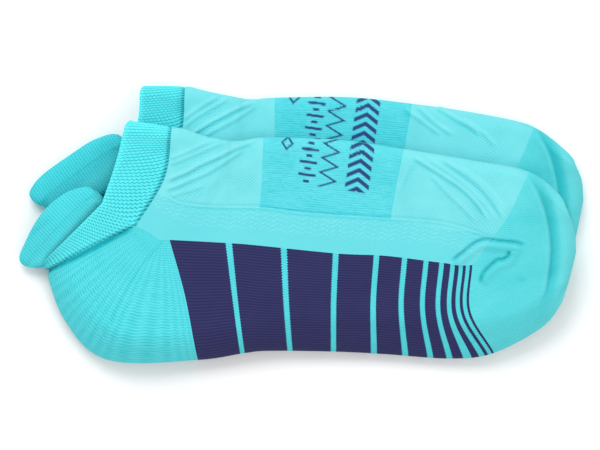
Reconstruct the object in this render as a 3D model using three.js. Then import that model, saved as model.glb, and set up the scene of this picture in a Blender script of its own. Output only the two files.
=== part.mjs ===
// A pair of low-cut running socks lying on their sides, the top sock draped partly over the bottom one.
// Units are millimetres, +Z is up, +X runs from heel to toe and +Y from the sole to the instep.
import * as THREE from 'three';

// ---------------------------------------------------------------- overall sizes
const footLength = 234;          // back of the heel to the tip of the toe, sock lying flat
const footDepth = 96;            // instep fold to sole fold at the heel, sock lying flat
const seamGap = 0.4;             // clearance between neighbouring knitted zones
const edgeRadius = 6;            // how far in from a fold the wall takes to become flat

// ---------------------------------------------------------------- how thick the sock lies
const flatHeight = 9.6;          // height of the flattened tube at mid foot
const heelExtra = 3.0;           // added height over the heel pocket
const toeExtra = 3.4;            // added height over the toe box
const heelAt = -78;              // where along the foot the heel pocket is fullest
const toeAt = 98;                // where along the foot the toe box is fullest
const fullnessReach = 44;        // how far that extra height fades out along the foot
const toeRounding = 0.8;         // share of the last station over which the toe end rounds off

// ---------------------------------------------------------------- wall thicknesses
const cuffWall = 2.0;
const meshWall = 1.7;
const bandWall = 1.9;
const heelWall = 2.6;
const toeWall = 2.4;
const seamWall = 3.0;
const soleWall = 3.2;            // backing, gap and navy pile together
const navyPile = 1.3;            // thickness of a navy block
const navySink = 0.2;            // navy blocks lie this far under the turquoise ribs

// ---------------------------------------------------------------- sole bands, heel to toe
const navyWidths = [24.6, 21.6, 20.4, 15.5, 10.1, 7.3, 4.8, 2.9, 1.8, 1.3, 1.1];
const ribWidthAtHeel = 2.8;      // turquoise rib after the first navy block
const ribWidthAtToe = 1.65;      // turquoise rib before the last one
const seamWidth = 0.15;          // toe seam, as a share of a station

// ---------------------------------------------------------------- heel tab
const tabThickness = 7.6;
const tabEdge = 3.0;             // rounding of the tab's rim
const tabFoldLength = 40;        // length of the tab's fold line on the drawn sock

// Flat outline of a sock as rings that cross it from the instep fold to the sole fold.
// Each ring: five points, heel end first.  Sized for a 234 by 96 foot.
const rings = [
  [[-76, 46], [-80, 28.5], [-86.5, 9.5], [-101, -5], [-113.5, -17]],          // mouth
  [[-56, 43], [-59, 21], [-71.5, -0.5], [-91.5, -9.5], [-112, -21]],          // end of the cuff
  [[-50, 42], [-53.5, 19], [-65.5, -3.5], [-82.5, -20], [-104, -42]],
  [[-43, 39.5], [-49.5, 17], [-61, -6.5], [-72.5, -29.5], [-85, -59.5]],      // heel gore
  [[-34.5, 37.5], [-41.5, 15.5], [-57, -6.5], [-50, -32], [-45, -59.5]],      // heel meets sole
  [[-26.5, 37], [-28, 15.5], [-30, -8], [-27.5, -32], [-24.5, -56.5]],
  [[-15, 38.5], [-16, 15.5], [-18, -9], [-16, -33], [-13.5, -55.5]],
  [[16.5, 37.5], [16.5, 12.5], [16.5, -12.5], [15.5, -34.5], [15.5, -56]],
  [[45.5, 33.5], [41, 10.5], [37.5, -13.5], [36, -35], [37, -57]],
  [[75, 28.5], [68.5, 5.5], [62, -16.5], [60.5, -38], [66, -59]],
  [[100, 23.5], [90.5, 3.5], [75.3, -17.5], [74.6, -38], [85.6, -56.5]],      // toe line
  [[112.5, 14], [111, 1.5], [111, -12.5], [109, -26.5], [107, -44.8]],
  [[117.2, 5.6], [120.5, -3], [121, -12], [119, -20.5], [115.5, -33]],        // toe fold
];
const cuffEnd = 1;
const goreStation = 3;
const soleStart = 4;
const toeLine = 10;
const toeFold = 12;
const panelLine = 0.33;          // share of the way to the sole fold: mesh panels end
const soleLine = 0.5;            // share of the way to the sole fold: sole begins

// A tab's outline: each point is how far along its fold line and how far out from it.
const socks = {
  bottom: {
    turn: 2.2, shorten: 0.982, shift: [6, 18.4], tabFold: [[-76.6, 28.8], [-109.6, 6.1]], tabRoot: 6.2,
    mouth: [[-70.5, 61.4], [-71.3, 46], [-76.5, 29], [-85.5, 12.5], [-105, 4]],
    instepTrim: [0, 2.0, 1.6, 2.2, 2.2, 1.2, 0, 0, 0, -0.4, -2.2, -3, 0],
    tabLobe: [
      [-3.4, 4.6], [-4.2, 9.2], [-1.0, 13.2], [7.5, 15.6], [15, 16], [23, 16], [31, 15.9], [38, 15.0], [43.6, 12.4],
      [44.4, 8.2], [42, 3.6], [36, -2.2], [27, -5.5], [19.5, -6.9], [13, -6.0], [7.5, -3.2], [2, 0.4],
    ],
  },
  top: {
    turn: 0, shorten: 1, shift: [0, 0], tabFold: [[-87.6, 8.2], [-116.2, -19.7]], tabRoot: 2.4,
    mouth: null, instepTrim: rings.map(() => 0),
    tabLobe: [
      [-3.2, 1.2], [-2.6, 9.2], [1.6, 12.7], [6.9, 15.0], [13.8, 16.1], [20.7, 15.9], [28, 14.5], [35.4, 12.2],
      [41.2, 9.8], [42.8, 7.0], [41, 3.9], [36.1, 0.8], [16, 0.8],
    ],
  },
};
const restGap = 0.4;             // clearance between the two socks
const drapeReach = 22;           // width over which the top sock sinks from the bottom sock to the table
const drapeStart = 2;            // how far inside the bottom sock's outline the sinking begins

const lengthScale = footLength / 234;
const depthScale = footDepth / 96;

// ---------------------------------------------------------------- small helpers
const degrees = Math.PI / 180;
const clamp = (value, low, high) => Math.min(high, Math.max(low, value));
const smooth = (value) => {
  const t = clamp(value, 0, 1);
  return t * t * (3 - 2 * t);
};
const bump = (distance) => {
  const t = clamp(1 - Math.abs(distance), 0, 1);
  return t * t * (3 - 2 * t);
};

// Smooth curve through a list of points, t counted in points.
function through(points, t) {
  const last = points.length - 1;
  const index = Math.min(Math.floor(t), last - 1);
  const f = t - index;
  const p1 = points[index];
  const p2 = points[index + 1];
  const p0 = index > 0 ? points[index - 1] : p1.map((v, n) => 2 * v - p2[n]);
  const p3 = index + 2 <= last ? points[index + 2] : p2.map((v, n) => 2 * v - p1[n]);
  return p1.map((v, n) => {
    const m1 = (p2[n] - p0[n]) / 2;
    const m2 = (p3[n] - v) / 2;
    const f2 = f * f;
    const f3 = f2 * f;
    return (2 * f3 - 3 * f2 + 1) * v + (f3 - 2 * f2 + f) * m1 + (3 * f2 - 2 * f3) * p2[n] + (f3 - f2) * m2;
  });
}

// The rings of one sock, turned and shifted to where it lies.
function placedRings(sock) {
  const c = Math.cos(sock.turn * degrees);
  const s = Math.sin(sock.turn * degrees);
  const place = ([x, y]) => [(x * c - y * s) * sock.shorten + sock.shift[0], x * s + y * c + sock.shift[1]];
  const scaled = ([x, y]) => [x * lengthScale, y * depthScale];
  return rings.map((ring, row) => {
    if (row === 0 && sock.mouth) return sock.mouth.map(scaled);
    return ring.map((point, n) => {
      const [x, y] = place(point);
      return scaled([x, y + sock.instepTrim[row] * (1 - n / 4) ** 2]);
    });
  });
}

// Point of the flat sock: station along the foot, share of the way from instep to sole.
// The knit lines may bend where the sole begins, so each half of a ring is a curve of its own.
function flatPoint(sock, station, share) {
  const half = share < soleLine ? [0, 1, 2] : [2, 3, 4];
  const ring = half.map((n) => through(sock.rings.map((row) => row[n]), station));
  return through(ring, share * 4 - half[0]);
}

function ringLength(sock, station) {
  let length = 0;
  for (let n = 0; n < 8; n += 1) {
    const a = flatPoint(sock, station, n / 8);
    const b = flatPoint(sock, station, (n + 1) / 8);
    length += Math.hypot(b[0] - a[0], b[1] - a[1]);
  }
  return length;
}

// Half the height the sock lies at, fuller at heel and toe.
function halfHeight(x) {
  const heel = heelExtra * bump((x / lengthScale - heelAt) / fullnessReach);
  const toe = toeExtra * bump((x / lengthScale - toeAt) / fullnessReach);
  return (flatHeight + heel + toe) / 2;
}

// ---------------------------------------------------------------- heel tab outline
function tabPoint(sock, along, out) {
  const [start, end] = sock.tabFold.map(([x, y]) => [x * lengthScale, y * depthScale]);
  const span = Math.hypot(end[0] - start[0], end[1] - start[1]);
  const c = (end[0] - start[0]) / span;
  const s = (end[1] - start[1]) / span;
  const reach = along * (span / tabFoldLength);
  return [start[0] + reach * c + out * s, start[1] + reach * s - out * c];
}

function lobeCurve(sock, count) {
  const closed = [...sock.tabLobe, sock.tabLobe[0]];
  return Array.from({ length: count }, (_, n) => through(closed, (n / count) * sock.tabLobe.length));
}

// ---------------------------------------------------------------- how the top sock drapes
function outlineOf(sock) {
  const points = [];
  for (let n = 0; n < 96; n += 1) points.push(flatPoint(sock, (toeFold * n) / 96, 0));
  for (let n = 0; n < 12; n += 1) points.push(flatPoint(sock, toeFold, n / 12));
  for (let n = 0; n < 96; n += 1) points.push(flatPoint(sock, toeFold * (1 - n / 96), 1));
  for (let n = 0; n < 16; n += 1) points.push(flatPoint(sock, 0, 1 - n / 16));
  return points;
}

// Distance from a point to a closed outline, positive inside it.
function insideDistance(outline, x, y) {
  let nearest = Infinity;
  let inside = false;
  for (let n = 0; n < outline.length; n += 1) {
    const [ax, ay] = outline[n];
    const [bx, by] = outline[(n + 1) % outline.length];
    const span = (bx - ax) ** 2 + (by - ay) ** 2;
    const t = span > 0 ? clamp(((x - ax) * (bx - ax) + (y - ay) * (by - ay)) / span, 0, 1) : 0;
    nearest = Math.min(nearest, Math.hypot(x - ax - t * (bx - ax), y - ay - t * (by - ay)));
    if (ay > y !== by > y && x < ax + ((y - ay) * (bx - ax)) / (by - ay)) inside = !inside;
  }
  return inside ? nearest : -nearest;
}

const bottomSock = { ...socks.bottom, rings: placedRings(socks.bottom), name: 'bottom' };
const topSock = { ...socks.top, rings: placedRings(socks.top), name: 'top' };
const outlines = [outlineOf(bottomSock), lobeCurve(bottomSock, 40).map(([a, o]) => tabPoint(bottomSock, a, o))];

function drape(sock, x, y) {
  if (sock === bottomSock) return 0;
  const inside = Math.max(...outlines.map((outline) => insideDistance(outline, x, y)));
  const under = 2 * halfHeight(x - bottomSock.shift[0]);
  return restGap + under * smooth((inside + drapeReach) / (drapeReach - drapeStart));
}

// ---------------------------------------------------------------- grid over a sock's wall
// Lines across the wall: rounding angle at a fold, or share of the flat part.
const foldAngles = [0, 30, 60];
const flatShares = [0.05, 0.18, panelLine, soleLine, 0.67, 0.82, 0.95];
const upperLines = [
  ...foldAngles.map((angle) => ({ angle, fold: 'instep' })),
  ...flatShares.map((share) => ({ angle: 90, share })),
  ...[...foldAngles].reverse().map((angle) => ({ angle, fold: 'sole' })),
];
const perWall = upperLines.length - 1;
const around = 2 * perWall;
const lineAt = (j) => upperLines[j <= perWall ? j : around - j];
const bandOf = (j) => (j < perWall ? j : around - 1 - j);
const firstSoleBand = foldAngles.length + flatShares.indexOf(soleLine);
const firstVentBand = foldAngles.length + flatShares.indexOf(panelLine);

// Point of the wall at a depth under its outer face.
function wallPoint(sock, station, j, depth, slip) {
  const line = lineAt(j);
  const side = j <= perWall ? 1 : -1;
  const towardsToe = clamp(station - (toeFold - 1), 0, 1);
  const at = station - (depth / 9) * towardsToe;
  const length = ringLength(sock, at);
  const radius = Math.min(edgeRadius, length * 0.3);
  const angle = line.angle * degrees;
  const curved = depth + (radius - depth) * (1 - Math.cos(angle));
  let along = radius + ((line.share - 0.05) / 0.9) * (length - 2 * radius);
  if (line.fold === 'instep') along = curved;
  if (line.fold === 'sole') along = length - curved;
  const [x, y] = flatPoint(sock, at, clamp((along + slip * side) / length, 0, 1));
  const beyond = clamp((station - (toeFold - toeRounding)) / toeRounding, 0, 1);
  const rounding = Math.sqrt(Math.max(0, 1 - beyond * beyond));
  const half = halfHeight(sock === bottomSock ? x - sock.shift[0] : x);
  const z = half + side * (half - depth) * Math.sin(angle) * rounding;
  return [x, y, z + drape(sock, x, y)];
}

// Lines along the foot, with a name for every column between two lines.
function columnsOf(sock) {
  const columns = [];
  const add = (from, to, count, kind) => {
    for (let n = 0; n < count; n += 1) {
      columns.push({ from: from + ((to - from) * n) / count, to: from + ((to - from) * (n + 1)) / count, kind });
    }
  };
  add(0, cuffEnd, 3, 'cuff');
  add(cuffEnd, goreStation, 5, 'heel_back');
  add(goreStation, soleStart, 3, 'heel_base');
  const steps = 600;
  const trail = [0];
  for (let n = 1; n <= steps; n += 1) {
    const a = flatPoint(sock, soleStart + ((toeLine - soleStart) * (n - 1)) / steps, soleLine);
    const b = flatPoint(sock, soleStart + ((toeLine - soleStart) * n) / steps, soleLine);
    trail.push(trail[n - 1] + Math.hypot(b[0] - a[0], b[1] - a[1]));
  }
  const ribCount = navyWidths.length - 1;
  const ribWidth = (block) => ribWidthAtHeel + ((ribWidthAtToe - ribWidthAtHeel) * block) / (ribCount - 1);
  const drawn = navyWidths.reduce((sum, width, block) => sum + width + (block < ribCount ? ribWidth(block) : 0), 0);
  const stationAt = (distance) => {
    const wanted = (distance / drawn) * trail[steps];
    const index = Math.max(1, trail.findIndex((value) => value >= wanted - 1e-9));
    const part = (wanted - trail[index - 1]) / (trail[index] - trail[index - 1]);
    return soleStart + ((toeLine - soleStart) * (index - 1 + part)) / steps;
  };
  let distance = 0;
  navyWidths.forEach((width, block) => {
    const pieces = Math.max(1, Math.round(width / 9));
    add(stationAt(distance), stationAt(distance + width), pieces, `navy_${String(block + 1).padStart(2, '0')}`);
    distance += width;
    if (block < ribCount) {
      add(stationAt(distance), stationAt(distance + ribWidth(block)), 1, 'rib');
      distance += ribWidth(block);
    }
  });
  add(toeLine, toeLine + seamWidth, 1, 'toe_seam');
  add(toeLine + seamWidth, toeFold - toeRounding, 3, 'toe');
  const rounds = 4;
  for (let n = 0; n < rounds; n += 1) {
    const step = (m) => toeFold - toeRounding + toeRounding * Math.sin((Math.PI / 2) * (m / rounds));
    add(step(n), step(n + 1), 1, 'toe');
  }
  return columns;
}

// A closed piece made of the wall cells that `belongs(column, band, j, layer)` picks out.
function wallPiece(sock, name, colour, depths, belongs) {
  const columns = sock.columns;
  const count = columns.length;
  const stations = [...columns.map((column) => column.from), toeFold];
  const holds = (i, j, layer) => {
    if (i < 0 || layer < 0 || layer >= depths.length - 1) return false;
    const past = i >= count;
    const column = past ? 2 * count - 1 - i : i;
    const cell = ((past ? around - 1 - j : j) + 2 * around) % around;
    return belongs(columns[column], bandOf(cell), cell, layer);
  };
  const positions = [];
  const known = new Map();
  const vertex = (i, j, level) => {
    let ring = ((j % around) + around) % around;
    if (i === count && ring > perWall) ring = around - ring;
    const key = `${i},${ring},${level}`;
    if (known.has(key)) return known.get(key);
    let alongPull = 0;
    let acrossPull = 0;
    for (const di of [-1, 0]) {
      for (const dj of [-1, 0]) {
        for (const dk of [-1, 0]) {
          if (holds(i + di, ring + dj, level + dk)) {
            alongPull += di + 0.5;
            acrossPull += dj + 0.5;
          }
        }
      }
    }
    const probe = 0.02;
    const line = lineAt(ring);
    const share = line.share ?? (line.fold === 'instep' ? 0 : 1);
    const near = clamp(stations[i], probe, toeFold - probe);
    const a = flatPoint(sock, near - probe, share);
    const b = flatPoint(sock, near + probe, share);
    const stride = Math.hypot(b[0] - a[0], b[1] - a[1]) / (2 * probe);
    const station = stations[i] + (Math.sign(alongPull) * seamGap) / 2 / stride;
    const slip = line.share ? (Math.sign(acrossPull) * seamGap) / 2 : 0;
    positions.push(...wallPoint(sock, Math.max(0, station), ring, depths[level], slip));
    known.set(key, positions.length / 3 - 1);
    return known.get(key);
  };
  const faces = [];
  const quad = (a, b, c, d) => {
    if (a !== b && b !== c && a !== c) faces.push(a, b, c);
    if (a !== c && c !== d && a !== d) faces.push(a, c, d);
  };
  for (let i = 0; i < count; i += 1) {
    for (let j = 0; j < around; j += 1) {
      for (let k = 0; k < depths.length - 1; k += 1) {
        if (!holds(i, j, k)) continue;
        const at = (di, dj, dk) => vertex(i + di, j + dj, k + dk);
        if (!holds(i, j, k - 1)) quad(at(0, 0, 0), at(0, 1, 0), at(1, 1, 0), at(1, 0, 0));
        if (!holds(i, j, k + 1)) quad(at(0, 0, 1), at(1, 0, 1), at(1, 1, 1), at(0, 1, 1));
        if (!holds(i - 1, j, k)) quad(at(0, 0, 0), at(0, 0, 1), at(0, 1, 1), at(0, 1, 0));
        if (!holds(i + 1, j, k)) quad(at(1, 0, 0), at(1, 1, 0), at(1, 1, 1), at(1, 0, 1));
        if (!holds(i, j - 1, k)) quad(at(0, 0, 0), at(1, 0, 0), at(1, 0, 1), at(0, 0, 1));
        if (!holds(i, j + 1, k)) quad(at(0, 1, 0), at(0, 1, 1), at(1, 1, 1), at(1, 1, 0));
      }
    }
  }
  return meshOf(`${sock.name}_${name}`, colour, positions, faces);
}

// A soft rounded slab with the given outline, lying level at the sock's mid height.
function paddedSlab(sock, name, colour, outline, edge) {
  const sum = outline.reduce((total, [a, o]) => [total[0] + a, total[1] + o], [0, 0]);
  const lows = outline.map(([, o]) => o);
  const middle = [sum[0] / outline.length, (Math.min(...lows) + Math.max(...lows)) / 2];
  const reach = (Math.max(...lows) - Math.min(...lows)) / 2;
  const shrink = Math.min(edge / reach, 0.7);
  const levels = [-90, -60, -30, 0, 30, 60, 90];
  const positions = [];
  const faces = [];
  const put = (along, out, lift) => {
    const [x, y] = tabPoint(sock, along, out);
    positions.push(x, y, flatHeight / 2 + lift + drape(sock, x, y));
  };
  for (const level of levels) {
    const size = 1 - shrink * (1 - Math.cos(level * degrees));
    for (const [a, o] of outline) {
      const along = middle[0] + (a - middle[0]) * size;
      const out = middle[1] + (o - middle[1]) * size;
      put(along, out, (tabThickness / 2) * Math.sin(level * degrees));
    }
  }
  const n = outline.length;
  for (let level = 0; level < levels.length - 1; level += 1) {
    for (let k = 0; k < n; k += 1) {
      const a = level * n + k;
      const b = level * n + ((k + 1) % n);
      faces.push(a, b, b + n, a, b + n, a + n);
    }
  }
  const floor = positions.length / 3;
  put(middle[0], middle[1], -tabThickness / 2);
  put(middle[0], middle[1], tabThickness / 2);
  const lid = (levels.length - 1) * n;
  for (let k = 0; k < n; k += 1) {
    faces.push(floor, (k + 1) % n, k, floor + 1, lid + k, lid + ((k + 1) % n));
  }
  return meshOf(`${sock.name}_${name}`, colour, positions, faces);
}

function meshOf(name, colour, positions, faces) {
  const geometry = new THREE.BufferGeometry();
  geometry.setAttribute('position', new THREE.Float32BufferAttribute(positions, 3));
  geometry.setIndex(faces);
  geometry.computeVertexNormals();
  const material = new THREE.MeshStandardMaterial({ color: colour, roughness: 0.9, metalness: 0 });
  const mesh = new THREE.Mesh(geometry, material);
  mesh.name = name;
  return mesh;
}

// ---------------------------------------------------------------- the pieces of one sock
const colours = {
  cuff: '#44d9df', mesh: '#83e4ec', band: '#5ce0e9', vent: '#74e4ec', heel: '#50d8e2', ground: '#58d8de',
  navy: '#353662', toe: '#62dadb', seam: '#4cc9d2', tab: '#58d8e2',
};

function buildSock(sock) {
  sock.columns = columnsOf(sock);
  const columns = sock.columns;
  const archFrom = columns.findIndex((column) => column.kind === 'navy_02') + 1;
  const archTo = columns.findIndex((column) => column.kind === 'navy_05');
  const place = (column) => columns.indexOf(column);
  const isSole = (column) => column.kind === 'rib' || column.kind.startsWith('navy');
  const instep = (band) => band < firstVentBand;
  const aboveSole = (band) => band < firstSoleBand;
  const group = new THREE.Group();
  group.name = `${sock.name}_sock`;
  const piece = (name, colour, wall, belongs) => {
    group.add(wallPiece(sock, name, colour, [0, wall], belongs));
  };

  piece('cuff', colours.cuff, cuffWall, (column) => column.kind === 'cuff');
  piece('ankle_mesh', colours.mesh, meshWall, (column, band) => {
    if (column.kind.startsWith('heel')) return aboveSole(band);
    return isSole(column) && instep(band) && place(column) < archFrom;
  });
  piece('arch_band', colours.band, bandWall, (column, band) => (
    instep(band) && place(column) >= archFrom && place(column) < archTo
  ));
  piece('forefoot_mesh', colours.mesh, meshWall, (column, band) => (
    isSole(column) && instep(band) && place(column) >= archTo
  ));
  for (const [side, upper] of [['upper', true], ['lower', false]]) {
    piece(`side_vent_${side}`, colours.vent, bandWall, (column, band, j) => (
      isSole(column) && !instep(band) && aboveSole(band) && (j < perWall) === upper
    ));
  }
  piece('heel_back', colours.heel, heelWall, (column, band) => column.kind === 'heel_back' && !aboveSole(band));
  piece('heel_base', colours.heel, heelWall, (column, band) => column.kind === 'heel_base' && !aboveSole(band));

  const backing = navySink + navyPile + seamGap;
  group.add(wallPiece(sock, 'sole_ground', colours.ground, [0, backing, soleWall], (column, band, j, layer) => (
    isSole(column) && !aboveSole(band) && (layer === 1 || column.kind === 'rib')
  )));
  navyWidths.forEach((width, block) => {
    const kind = `navy_${String(block + 1).padStart(2, '0')}`;
    const depths = [navySink, navySink + navyPile];
    group.add(wallPiece(sock, `sole_${kind}`, colours.navy, depths, (column, band) => (
      column.kind === kind && !aboveSole(band)
    )));
  });

  piece('toe_seam', colours.seam, seamWall, (column, band) => column.kind === 'toe_seam' && aboveSole(band));
  piece('toe_top', colours.toe, toeWall, (column, band) => column.kind === 'toe' && aboveSole(band));
  piece('toe_base', colours.toe, toeWall, (column, band) => column.kind.startsWith('toe') && !aboveSole(band));

  const hinge = sock.tabRoot;
  const lobe = lobeCurve(sock, 26);
  const fold = lobe.filter(([, o]) => Math.abs(o - hinge) < 2.5).map(([a]) => a);
  const keep = (a) => clamp(a, Math.min(...fold) + 1, Math.max(...fold) - 1);
  const root = lobe.map(([a, o]) => (o < hinge ? [a, o] : [keep(a), hinge - seamGap / 2]));
  const lip = lobe.map(([a, o]) => (o > hinge ? [a, o] : [keep(a), hinge + seamGap / 2]));
  group.add(paddedSlab(sock, 'heel_tab_root', colours.tab, root, 0.8));
  group.add(paddedSlab(sock, 'heel_tab', colours.tab, lip, tabEdge));
  return group;
}

const pair = new THREE.Group();
pair.name = 'sock_pair';
pair.add(buildSock(bottomSock), buildSock(topSock));
pair.updateMatrixWorld(true);
const box = new THREE.Box3().setFromObject(pair);
const middle = box.getCenter(new THREE.Vector3());
for (const sock of pair.children) {
  for (const mesh of sock.children) mesh.geometry.translate(-middle.x, -middle.y, -box.min.z);
}

export default pair;
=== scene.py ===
"""A pair of turquoise low-cut running socks with navy banded soles, lying on their sides on white."""
import math

import bpy
import numpy as np
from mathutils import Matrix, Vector


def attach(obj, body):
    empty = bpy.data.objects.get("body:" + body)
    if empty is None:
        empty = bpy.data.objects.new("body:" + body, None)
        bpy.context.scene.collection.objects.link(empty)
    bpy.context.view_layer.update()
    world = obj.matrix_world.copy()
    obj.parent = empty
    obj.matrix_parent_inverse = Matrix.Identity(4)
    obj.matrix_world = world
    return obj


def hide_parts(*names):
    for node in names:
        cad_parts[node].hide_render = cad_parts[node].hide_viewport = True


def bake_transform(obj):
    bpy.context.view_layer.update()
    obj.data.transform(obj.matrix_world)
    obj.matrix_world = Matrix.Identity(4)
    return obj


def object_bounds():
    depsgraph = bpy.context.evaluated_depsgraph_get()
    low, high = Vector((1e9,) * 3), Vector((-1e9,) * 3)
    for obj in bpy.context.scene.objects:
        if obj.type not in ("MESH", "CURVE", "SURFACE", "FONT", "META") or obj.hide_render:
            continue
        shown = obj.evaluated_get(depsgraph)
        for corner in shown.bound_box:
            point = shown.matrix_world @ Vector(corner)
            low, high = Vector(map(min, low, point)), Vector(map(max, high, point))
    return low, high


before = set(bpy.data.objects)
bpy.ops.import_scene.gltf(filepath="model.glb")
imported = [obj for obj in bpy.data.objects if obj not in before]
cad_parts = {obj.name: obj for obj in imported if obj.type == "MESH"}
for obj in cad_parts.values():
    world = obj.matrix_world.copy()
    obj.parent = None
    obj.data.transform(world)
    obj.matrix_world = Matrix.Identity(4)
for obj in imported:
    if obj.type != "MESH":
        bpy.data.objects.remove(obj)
cad_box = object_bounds()

MM = 0.001

# ------------------------------------------------------------------ the flat sock, as in the CAD (mm)
# Rings from the mouth to the toe fold, each crossing the sock from the instep fold to the sole fold.
RINGS = np.array([
    [[-76, 46], [-80, 28.5], [-86.5, 9.5], [-101, -5], [-113.5, -17]],
    [[-56, 43], [-59, 21], [-71.5, -0.5], [-91.5, -9.5], [-112, -21]],
    [[-50, 42], [-53.5, 19], [-65.5, -3.5], [-82.5, -20], [-104, -42]],
    [[-43, 39.5], [-49.5, 17], [-61, -6.5], [-72.5, -29.5], [-85, -59.5]],
    [[-34.5, 37.5], [-41.5, 15.5], [-57, -6.5], [-50, -32], [-45, -59.5]],
    [[-26.5, 37], [-28, 15.5], [-30, -8], [-27.5, -32], [-24.5, -56.5]],
    [[-15, 38.5], [-16, 15.5], [-18, -9], [-16, -33], [-13.5, -55.5]],
    [[16.5, 37.5], [16.5, 12.5], [16.5, -12.5], [15.5, -34.5], [15.5, -56]],
    [[45.5, 33.5], [41, 10.5], [37.5, -13.5], [36, -35], [37, -57]],
    [[75, 28.5], [68.5, 5.5], [62, -16.5], [60.5, -38], [66, -59]],
    [[100, 23.5], [90.5, 3.5], [75.3, -17.5], [74.6, -38], [85.6, -56.5]],
    [[112.5, 14], [111, 1.5], [111, -12.5], [109, -26.5], [107, -44.8]],
    [[117.2, 5.6], [120.5, -3], [121, -12], [119, -20.5], [115.5, -33]],
], float)
# Stations along the foot are counted in rings. A share is a part of the way from instep fold to sole fold.
CUFF_END, GORE, SOLE_START, ARCH_START, ARCH_END, TOE_LINE, TOE_FOLD = 1, 3, 4, 5.95, 8, 10, 12
PANEL_LINE, SOLE_LINE = 0.33, 0.5
FOLD_SHARE = 0.05              # part of the grid that goes round each fold
FOLD_KNIT = 0.095              # part of the knit that goes round each fold
EDGE_RADIUS = 6.0              # how far in from a fold the wall takes to become flat
NARROW_RADIUS = 0.3            # the same at the narrow end of the toe, as a part of the width there
FLAT_HEIGHT, HEEL_EXTRA, TOE_EXTRA = 9.6, 3.0, 3.4
HEEL_AT, TOE_AT, FULLNESS_REACH = -78.0, 98.0, 44.0
TOE_ROUNDING = 0.8             # stations over which the toe's end is rounded
TOE_SET_BACK = 1 / 9           # stations by which the toe's inner face is shorter, for each mm of depth
SEAM_STATIONS = 0.12
NAVY_WIDTHS = [24.6, 21.6, 20.4, 15.5, 10.1, 7.3, 4.8, 2.9, 1.8, 1.3, 1.1]
RIB_WIDTHS = np.linspace(2.8, 1.65, len(NAVY_WIDTHS) - 1)
REST_GAP, DRAPE_REACH, DRAPE_START = 0.4, 22.0, 2.0
TAB_THICKNESS = 7.6

# tone is painted shade laid evenly over a whole sock: how much darker it is. turn (degrees), shorten, shift
# and trim (mm at the instep of each ring) say how it lies, and mouth is its own first ring. tab_fold is the
# line of the heel tab's crease. The tab's lobe is its outline and its spine the thickest line, both as mm
# along the crease and out from it. furrows are the soft folds of the mesh panels, each with its points in mm
# and its strength.
SOCKS = {
    "bottom": dict(
        tone=0.12, turn=2.2, shorten=0.982, shift=(6, 18.4),
        trim=[0, 2.0, 1.6, 2.2, 2.2, 1.2, 0, 0, 0, -0.4, -2.2, -3, 0],
        mouth=[[-70.5, 61.4], [-71.3, 46], [-76.5, 29], [-85.5, 12.5], [-105, 4]],
        tab_fold=[[-76.6, 28.8], [-109.6, 6.1]], tab_root=6.2,
        tab_lobe=[[-3.4, 4.6], [-4.2, 9.2], [-1.0, 13.2], [7.5, 15.6], [15, 16], [23, 16],
                  [31, 15.9], [38, 15.0],
                  [43.6, 12.4], [44.4, 8.2], [42, 3.6], [36, -2.2], [27, -5.5], [19.5, -6.9], [13, -6.0],
                  [7.5, -3.2], [2, 0.4]],
        tab_spine=[[4.5, 8.0], [37.5, 7.0]],
        furrows=[
            ([[-51.5, 45.5], [-46.0, 49.5], [-40.9, 52.9], [-34.5, 56.8]], 1.0),
            ([[-50.5, 42.4], [-46.0, 46.3], [-40.3, 49.7], [-30.1, 55.9]], 1.0),
            ([[-48.0, 38.9], [-45.0, 40.6], [-40.9, 43.3], [-34.5, 46.8], [-27.1, 50.6], [-18.5, 54.1]], 1.7),
            ([[-42.0, 38.0], [-39.5, 39.7], [-33.9, 42.7], [-27.1, 46.5], [-17.6, 52.8]], 1.0),
            ([[45.5, 50.9], [55, 44], [62.5, 38.5]], 1.0),
            ([[51.5, 52.2], [58.5, 44.9], [67.3, 38.7]], 1.1),
            ([[60, 51.8], [68.2, 46.2], [75.7, 41.8], [79.5, 38.0]], 1.4),
            ([[70.5, 46.5], [79.5, 40.5], [86, 33.5]], 0.8),
        ]),
    "top": dict(
        tone=0.0, turn=0.0, shorten=1.0, shift=(0, 0), trim=[0] * len(RINGS), mouth=None,
        tab_fold=[[-87.6, 8.2], [-116.2, -19.7]], tab_root=2.4,
        tab_lobe=[[-3.2, 1.2], [-2.6, 9.2], [1.6, 12.7], [6.9, 15.0], [13.8, 16.1], [20.7, 15.9], [28, 14.5],
                  [35.4, 12.2], [41.2, 9.8], [43.0, 7.0], [42, 3.6], [38.5, -0.2], [34, -1.6], [16, -1.6],
                  [2, -0.8]],
        tab_spine=[[4.5, 7.0], [35.5, 6.0]],
        furrows=[
            ([[-57.0, 27.9], [-47.7, 31.8], [-40.6, 35.2], [-33.5, 37.4]], 1.0),
            ([[-57.0, 25.6], [-47.7, 29.3], [-40.3, 32.6], [-31.5, 36.6]], 1.0),
            ([[-58.5, 18.6], [-49.1, 22.4], [-43.3, 25.7], [-34.5, 29.5], [-28.6, 32.6], [-18.5, 36.8]], 1.7),
            ([[-59.5, 14.6], [-55.0, 15.7], [-47.7, 18.9], [-40.3, 22.1], [-34.4, 25.7], [-22.5, 33.5]], 1.2),
            ([[-56.5, 11.8], [-48.5, 14.2], [-41.5, 16.6]], 0.6),
            ([[48.5, 29.6], [62, 21.1], [70.4, 15.4], [77, 8.8], [82.5, 0.6]], 1.6),
            ([[57, 21.4], [64.7, 12.8], [70.4, 7.5], [76.5, 0.6]], 0.8),
            ([[55.5, 28.6], [66.5, 21.0], [74, 15.0], [80.5, 8.0], [84.7, 1.6]], 0.9),
            ([[62, 28.2], [70.8, 22], [77, 17.2], [81.4, 12.8], [85.8, 6.6], [89.3, 1.2]], 1.3),
            ([[68.5, 25.6], [76, 19.8], [82.4, 14.4], [88.9, 4.8]], 0.9),
            ([[44, 13.5], [46.5, 20.5], [49.5, 26.5]], 0.5),
        ]),
}


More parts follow.
